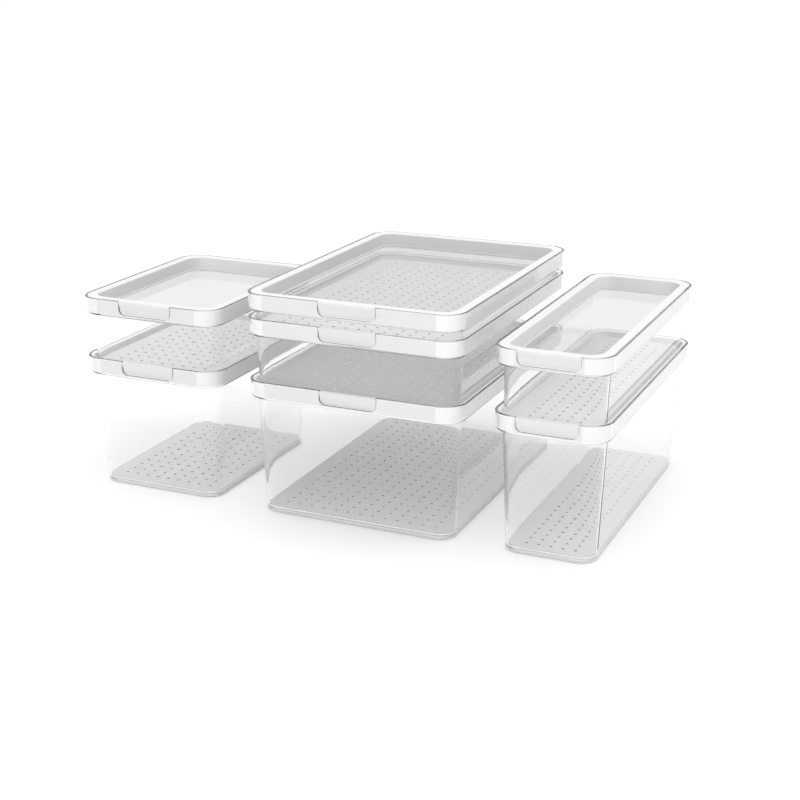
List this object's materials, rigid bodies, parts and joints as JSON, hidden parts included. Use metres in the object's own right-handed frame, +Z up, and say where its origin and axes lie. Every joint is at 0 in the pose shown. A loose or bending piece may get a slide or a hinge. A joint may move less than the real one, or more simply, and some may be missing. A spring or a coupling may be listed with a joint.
{
  "type": "fridge organizer",
  "caption": "Set of clear rounded stacking fridge bins of different footprints and heights, with white rims, sunk lids and perforated mats.",
  "frame": {"origin": "on the shelf, at the middle of the footprint of the whole set", "axes": "+X to the right when the finger notches face the viewer, +Y towards the back, +Z up"},
  "size_m": [0.544, 0.3154, 0.2195],
  "materials": {
    "clear_plastic": "clear, smooth and glossy moulded plastic",
    "white_plastic": "white moulded plastic with a soft satin face",
    "mat_plastic": "pale grey soft matte sheet with punched holes"
  },
  "bodies": {
    "middle_deep": {"middle_deep_shell": "clear_plastic", "middle_deep_rim": "white_plastic"},
    "left_deep": {"left_deep_shell": "clear_plastic", "left_deep_rim": "white_plastic"},
    "left_deep_mat": {"left_deep_mat": "mat_plastic"},
    "left_mid": {"left_mid_shell": "clear_plastic", "left_mid_rim": "white_plastic"},
    "left_mid_mat": {"left_mid_mat": "mat_plastic"},
    "left_mid_lid": {"left_mid_lid_frame": "white_plastic", "left_mid_lid_window": "clear_plastic"},
    "middle_deep_mat": {"middle_deep_mat": "mat_plastic"},
    "middle_mid": {"middle_mid_shell": "clear_plastic", "middle_mid_rim": "white_plastic"},
    "middle_mid_mat": {"middle_mid_mat": "mat_plastic"},
    "middle_tray": {"middle_tray_shell": "clear_plastic", "middle_tray_rim": "white_plastic"},
    "middle_tray_mat": {"middle_tray_mat": "mat_plastic"},
    "middle_tray_lid": {"middle_tray_lid_frame": "white_plastic", "middle_tray_lid_window": "clear_plastic"},
    "right_deep": {"right_deep_shell": "clear_plastic", "right_deep_rim": "white_plastic"},
    "right_deep_mat": {"right_deep_mat": "mat_plastic"},
    "right_mid": {"right_mid_shell": "clear_plastic", "right_mid_rim": "white_plastic"},
    "right_mid_mat": {"right_mid_mat": "mat_plastic"},
    "right_mid_lid": {"right_mid_lid_frame": "white_plastic", "right_mid_lid_window": "clear_plastic"}
  },
  "joints": [
    {"name": "left_stack_pull", "type": "slide", "parent": "middle_deep", "child": "left_deep", "axis": [0, -1, 0], "range_m": [0, 0.22]},
    {"name": "left_deep_mat_lift", "type": "slide", "parent": "left_deep", "child": "left_deep_mat", "axis": [0, 0, 1], "range_m": [0, 0.11]},
    {"name": "left_mid_lift", "type": "slide", "parent": "left_deep", "child": "left_mid", "axis": [0, 0, 1], "range_m": [0, 0.06]},
    {"name": "left_mid_mat_lift", "type": "slide", "parent": "left_mid", "child": "left_mid_mat", "axis": [0, 0, 1], "range_m": [0, 0.05]},
    {"name": "left_mid_lid_lift", "type": "slide", "parent": "left_mid", "child": "left_mid_lid", "axis": [0, 0, 1], "range_m": [0, 0.05]},
    {"name": "middle_deep_mat_lift", "type": "slide", "parent": "middle_deep", "child": "middle_deep_mat", "axis": [0, 0, 1], "range_m": [0, 0.11]},
    {"name": "middle_mid_lift", "type": "slide", "parent": "middle_deep", "child": "middle_mid", "axis": [0, 0, 1], "range_m": [0, 0.06]},
    {"name": "middle_mid_mat_lift", "type": "slide", "parent": "middle_mid", "child": "middle_mid_mat", "axis": [0, 0, 1], "range_m": [0, 0.05]},
    {"name": "middle_tray_lift", "type": "slide", "parent": "middle_mid", "child": "middle_tray", "axis": [0, 0, 1], "range_m": [0, 0.06]},
    {"name": "middle_tray_mat_lift", "type": "slide", "parent": "middle_tray", "child": "middle_tray_mat", "axis": [0, 0, 1], "range_m": [0, 0.015]},
    {"name": "middle_tray_lid_lift", "type": "slide", "parent": "middle_tray", "child": "middle_tray_lid", "axis": [0, 0, 1], "range_m": [0, 0.05]},
    {"name": "right_stack_pull", "type": "slide", "parent": "middle_deep", "child": "right_deep", "axis": [0, -1, 0], "range_m": [0, 0.32]},
    {"name": "right_deep_mat_lift", "type": "slide", "parent": "right_deep", "child": "right_deep_mat", "axis": [0, 0, 1], "range_m": [0, 0.11]},
    {"name": "right_mid_lift", "type": "slide", "parent": "right_deep", "child": "right_mid", "axis": [0, 0, 1], "range_m": [0, 0.06]},
    {"name": "right_mid_mat_lift", "type": "slide", "parent": "right_mid", "child": "right_mid_mat", "axis": [0, 0, 1], "range_m": [0, 0.05]},
    {"name": "right_mid_lid_lift", "type": "slide", "parent": "right_mid", "child": "right_mid_lid", "axis": [0, 0, 1], "range_m": [0, 0.05]}
  ]
}
